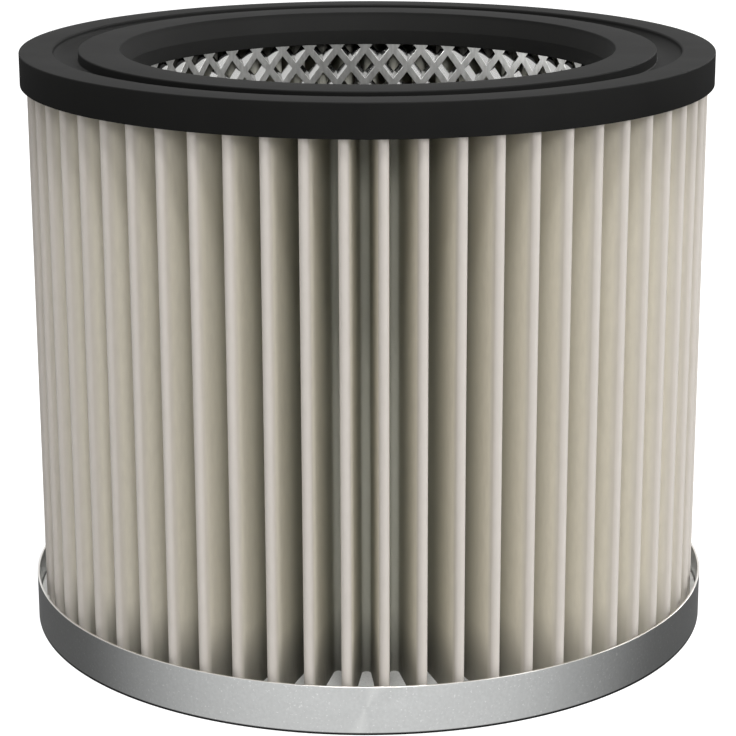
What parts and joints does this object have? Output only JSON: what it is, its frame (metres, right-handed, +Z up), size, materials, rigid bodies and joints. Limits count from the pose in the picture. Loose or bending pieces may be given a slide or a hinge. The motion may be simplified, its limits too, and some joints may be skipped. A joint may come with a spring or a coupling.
{
  "type": "vacuum cleaner fine filter",
  "caption": "Cylindrical pleated paper cartridge filter with a black sealing ring, an expanded steel core and a pressed steel bottom cap.",
  "frame": {"origin": "centre of the underside of the bottom cap, which rests on the floor", "axes": "+Z up along the filter's axis, from the bottom cap to the sealing ring; -Y is the side that faces the viewer"},
  "size_m": [0.141, 0.141, 0.1194],
  "materials": {
    "ring_rubber": "smooth matt moulded",
    "filter_paper": "dry uncoated filter paper",
    "core_steel": "galvanised, cut edges",
    "cap_steel": "galvanised, smooth",
    "potting_compound": "cast, finely speckled"
  },
  "bodies": {
    "root": {"seal_ring": "ring_rubber", "pleated_media": "filter_paper", "support_core": "core_steel", "bottom_cap": "cap_steel", "potting_bed": "potting_compound"}
  },
  "joints": []
}
